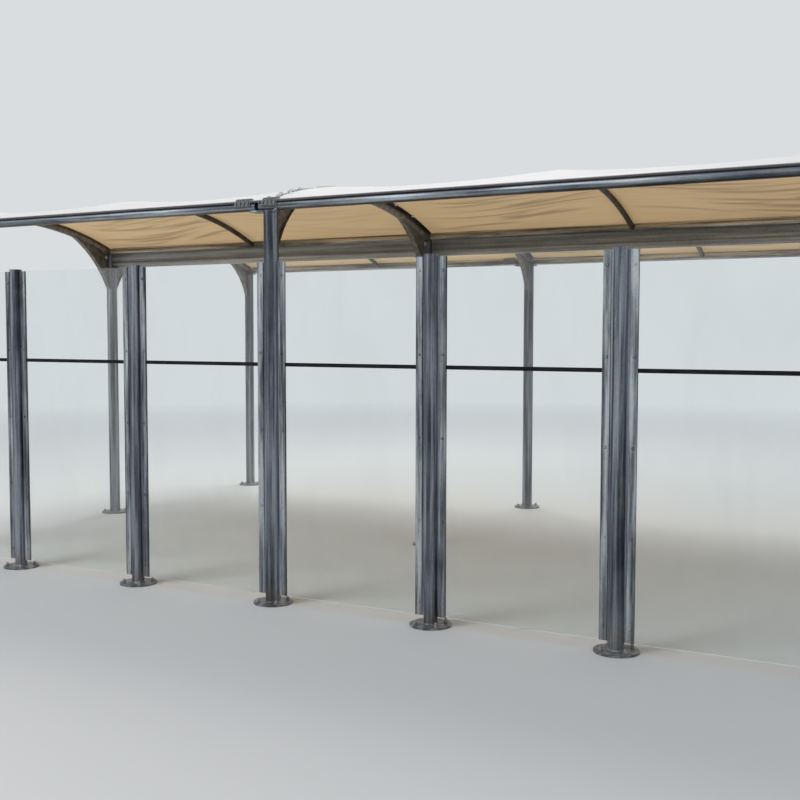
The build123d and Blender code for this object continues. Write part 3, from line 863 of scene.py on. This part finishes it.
def edgeTies(side, frameX, sign):
    # Loops of cord round the outer edge of an end arch's bar, each a rounded rectangle in the plane
    # of X and the normal
    besideGap, underGap = lacing["loopGap"]
    inside, outside = lacing["endEyeletX"], vault["barHalf"] + lacing["cord"] + besideGap
    over, under = lacing["over"], -vault["barDepth"] - lacing["cord"] - underGap
    corners = np.array([(inside, 0, over), (outside, 0, over - lacing["loopDrop"]),
                        (outside, 0, under), (inside, 0, under)])
    route = rounded(corners, passes=3, closed=True)
    loop = tubeAlong(route, lacing["cord"], lacing["loopSides"], (0.0, 1.0, 0.0), closed=True)
    return alongEyelets(loop, side, frameX, sign, 0.0)


laced = {(sideName, place): [] for sideName in sides for place in modules}
eyelet = ringShape(lacing["ring"], lacing["ringSides"])
for sideName, side in sides.items():
    centreCord = makePiece(f"{sideName}LacingCentre", *zigzagCord(side, middleX), whiteRope)
    for place, sign, endX, shift in (("left", -1, leftX, 0.5), ("right", 1, rightX, 0.0)):
        ties = makePiece(f"{sideName}Lacing{place.title()}", *edgeTies(side, endX, sign), whiteRope)
        middleRings = alongEyelets(eyelet, side, middleX + sign * lacing["eyeletX"], 1, shift)
        endRings = alongEyelets(eyelet, side, endX + sign * lacing["endEyeletX"], 1, 0.0)
        rings = makePiece(f"{sideName}Eyelets{place.title()}", *joinShapes([middleRings, endRings]),
                          eyeletSteel, "galvanised_steel")
        laced[sideName, place] += [centreCord, ties, rings]
print("lacing and eyelets made")


# Lashings at the splice of the eave tubes, and knots where the middle arch's cord is doubled
lashing = {
    "cord": 0.0027,  # its radius
    "cordSides": 8,
    "halfWidth": 0.0362,  # of a turn over the tube
    "height": 0.0505,  # of its top over the tube's axis
    "ends": 14.0,  # degrees below the axis where it turns back
    "turns": 8,
    "turnSteps": 18,
    "spans": {"left": (-0.280, -0.150), "right": (-0.058, 0.066)},
}
knot = {
    "x": (-0.016, 0.014, -0.010, 0.016, -0.014, 0.010),
    "share": (-0.985, -0.925, -0.870, -0.810, -0.755, -0.690),
    "lift": 0.0135,  # of its middle over the cloth
    "size": 0.0050,
    "height": 1.3,  # as a share of its size
    "steps": 60,
}


def latticeShape(low, high, lift, start):
    # One cord that goes to and fro over the tube: the angle a swings as a triangle wave while X
    # goes on evenly, and y = w cos a, z = h sin a over the axis. The tube's reference direction is
    # a little off the X axis, so that no stretch of the cord takes it.
    swing = np.linspace(0, lashing["turns"], lashing["turns"] * lashing["turnSteps"] + 1)
    wave = np.abs((swing + start) % 2 - 1)
    lowest = math.radians(-lashing["ends"])
    a = lowest + (math.pi - 2 * lowest) * wave
    half, top = lashing["halfWidth"] + lift, lashing["height"] + lift
    x = low + (high - low) * swing / lashing["turns"]
    path = np.stack([x, half * np.cos(a), np.where(np.sin(a) > 0, top, half) * np.sin(a)], 1)
    return tubeAlong(path, lashing["cord"], lashing["cordSides"], (1.0, 0.02, 0.03))


def knotShape():
    # A trefoil: x = (2 + cos 3t) cos 2t, y = (2 + cos 3t) sin 2t, z = h sin 3t
    t = np.linspace(0, 2 * math.pi, knot["steps"], endpoint=False)
    reach = 2 + np.cos(3 * t)
    path = np.stack([reach * np.cos(2 * t), reach * np.sin(2 * t), knot["height"] * np.sin(3 * t)], 1)
    return tubeAlong(path * knot["size"], lashing["cord"], lashing["cordSides"], (0.0, 0.0, 1.0),
                     closed=True)


for sideName, side in sides.items():
    for place, (low, high) in lashing["spans"].items():
        # two cords that cross, the second on top of the first
        crossed = [latticeShape(low, high, 0.0, 0), latticeShape(low, high, 2 * lashing["cord"], 1)]
        points, faces = joinShapes(crossed)
        points = points + np.array([0, side * shelter["rowY"], eaveAxis[side]])
        lashed = makePiece(f"{sideName}Lashing{place.title()}", points, faces, greyRope)
        laced[sideName, place].append(lashed)
    spots = onArch(side, middleX, np.array(knot["x"]), np.array(knot["share"]),
                   np.full(len(knot["x"]), knot["lift"]))
    points, faces = scatter(knotShape(), spots, np.tile(np.eye(3), (len(spots), 1, 1)))
    knots = makePiece(f"{sideName}Knots", points, faces, whiteRope)
    for place in modules:
        laced[sideName, place].append(knots)
print("lashings and knots made")


# Anchors of the base plates: (radius, height) profiles over the plate, and how many sides each has
anchor = {
    "washer": (((0.0150, 0.0), (0.0150, 0.0025), (0.0140, 0.0030)), 20),
    "nut": (((0.0128, 0.0030), (0.0139, 0.0042), (0.0139, 0.0148), (0.0128, 0.0160)), 6),
    "stud": (((0.0080, 0.0030), (0.0080, 0.0270), (0.0068, 0.0285)), 12),
    "angles": (45, 135, 225, 315),  # where they stand on their circle
}
anchorShape = joinShapes([solidShape(*anchor[part]) for part in ("washer", "nut", "stud")])
perModule = shelter["baysPerModule"]
postPlaces = [(x, y) for y in (0.0, shelter["rowY"]) for x in shelter["frameX"]]
postPlaces += [(bay * number, -shelter["rowY"]) for number in range(-perModule, perModule + 1)]
angles = np.radians(anchor["angles"])
circle = shelter["anchorCircle"] * np.stack([np.cos(angles), np.sin(angles)], 1)
anchorXY = (np.array(postPlaces)[:, None] + circle).reshape(-1, 2)
anchorPlaces = np.column_stack([anchorXY, np.full(len(anchorXY), shelter["baseTop"])])
# each nut is turned by its own angle about Z
spin = generator.uniform(0, math.pi / 3, len(anchorPlaces))
anchorTurns = np.zeros((len(spin), 3, 3))
anchorTurns[:, 0, 0] = anchorTurns[:, 1, 1] = np.cos(spin)
anchorTurns[:, 1, 0] = np.sin(spin)
anchorTurns[:, 0, 1] = -np.sin(spin)
anchorTurns[:, 2, 2] = 1
makePiece("anchorBolts", *scatter(anchorShape, anchorPlaces, anchorTurns), boltSteel, "galvanised_steel",
          smooth=False)
print("anchors made:", len(anchorPlaces))


# A bolt through each valley haunch, with a head on both faces
haunchBolt = {
    "washer": (((0.0185, 0.0), (0.0185, 0.0026), (0.0175, 0.0032)), 20),
    "head": (((0.0155, 0.0032), (0.0165, 0.0044), (0.0165, 0.0135), (0.0152, 0.0150)), 6),
    "web": 0.005,  # from an arch's plane to the face of its haunch
    "y": 0.080,
    "z": 2.598,
}
boltShape = joinShapes([solidShape(*haunchBolt[part]) for part in ("washer", "head")])
boltPlaces, boltTurns = [], []
for frameX in shelter["frameX"]:
    for side in sides.values():
        for sign in (-1, 1):
            boltPlaces.append((frameX + sign * haunchBolt["web"], side * haunchBolt["y"], haunchBolt["z"]))
            boltTurns.append([(0, 0, sign), (0, 1, 0), (-sign, 0, 0)])
makePiece("haunchBolts", *scatter(boltShape, boltPlaces, boltTurns), paleSteel, "galvanised_steel",
          smooth=False)
print("haunch bolts made:", len(boltPlaces))


# Floor and surroundings. The floor fades to the background's colour far out.
stageLook = {
    "floor": (0.66, 0.65, 0.63),
    "floorHalf": 60.0,
    "floorRough": 0.95,
    "background": (0.70, 0.72, 0.74),
    "fade": (6.0, 20.0),
    "ambient": (0.80, 0.86, 0.95),
    "ambientStrength": 0.62,
}
half = stageLook["floorHalf"]
floorMesh = bpy.data.meshes.new("floor")
floorMesh.from_pydata([(-half, -half, 0), (half, -half, 0), (half, half, 0), (-half, half, 0)], [],
                      [(0, 1, 2, 3)])
floor = bpy.data.objects.new("floor", floorMesh)
bpy.context.scene.collection.objects.link(floor)
floorMaterial, floorTree, floorShader = newMaterial("floorMaterial")
setInputs(floorTree, floorShader, [("Base Color", (*stageLook["floor"], 1)),
                                   ("Roughness", stageLook["floorRough"])])
floorPlace = addNode(floorTree, "ShaderNodeTexCoord").outputs["Object"]
fromMiddle = addNode(floorTree, "ShaderNodeVectorMath", [(0, floorPlace)], operation="LENGTH")
farShare = mapRange(floorTree, fromMiddle.outputs["Value"], *stageLook["fade"], 0.0, 1.0)
farGlow = addNode(floorTree, "ShaderNodeEmission", [("Color", (*stageLook["background"], 1))])
faded = mixShader(floorTree, farShare, floorShader.outputs[0], farGlow.outputs[0])
setInputs(floorTree, floorTree.nodes["Material Output"], [(0, faded)])
floorMesh.materials.append(floorMaterial)

# The camera, mirrors and glass see the background, and the ambient light does the rest
world = bpy.data.worlds.new("studio")
world.use_nodes = True
bpy.context.scene.world = world
worldTree = world.node_tree
rays = addNode(worldTree, "ShaderNodeLightPath").outputs
seen = rays["Is Camera Ray"]
for ray in ("Is Glossy Ray", "Is Transmission Ray"):
    seen = addNode(worldTree, "ShaderNodeMath", [(0, seen), (1, rays[ray])], operation="MAXIMUM").outputs[0]
ambient = worldTree.nodes["Background"]
setInputs(worldTree, ambient, [("Color", (*stageLook["ambient"], 1)),
                               ("Strength", stageLook["ambientStrength"])])
backdrop = addNode(worldTree, "ShaderNodeBackground",
                   [("Color", (*stageLook["background"], 1)), ("Strength", 1.0)])
surroundings = mixShader(worldTree, seen, ambient.outputs[0], backdrop.outputs[0])
setInputs(worldTree, worldTree.nodes["World Output"], [(0, surroundings)])

# Two wide soft lamps: one high behind the shelter, a cooler one in front
lamps = {
    "keyLamp": {"place": (-2.5, 6.5, 13.0), "aim": (0.0, 0.0, 1.6), "size": 7.0, "power": 1130,
                "colour": (1.0, 0.98, 0.95)},
    "fillLamp": {"place": (-6.0, -11.5, 10.0), "aim": (0.0, -1.0, 1.4), "size": 7.0, "power": 700,
                 "colour": (0.93, 0.96, 1.0)},
}
for lampName, look in lamps.items():
    lampData = bpy.data.lights.new(lampName, "AREA")
    lampData.size = look["size"]
    lampData.energy = look["power"]
    lampData.color = look["colour"]
    lamp = bpy.data.objects.new(lampName, lampData)
    lamp.location = look["place"]
    lamp.rotation_euler = (Vector(look["aim"]) - Vector(look["place"])).to_track_quat("-Z", "Y").to_euler()
    bpy.context.scene.collection.objects.link(lamp)

# A camera at eye height before the right-hand module
view = {
    "place": (4.210, -8.355, 1.828),
    "yaw": 28.244,  # degrees to the left of +Y
    "pitch": -3.470,
    "roll": -0.086,
    "focal": 1082.8,  # in pixels of the frame
    "frame": 800,
    "sensor": 36.0,
    "farthest": 200,
}
cameraData = bpy.data.cameras.new("camera")
cameraData.sensor_width = view["sensor"]
cameraData.lens = view["focal"] / view["frame"] * view["sensor"]
cameraData.clip_end = view["farthest"]
camera = bpy.data.objects.new("camera", cameraData)
camera.location = view["place"]
camera.rotation_mode = "XYZ"
camera.rotation_euler = np.radians([90 + view["pitch"], view["roll"], view["yaw"]])
bpy.context.scene.collection.objects.link(camera)
bpy.context.scene.camera = camera
bpy.context.scene.view_settings.view_transform = "Standard"
print("stage, lamps and camera set")
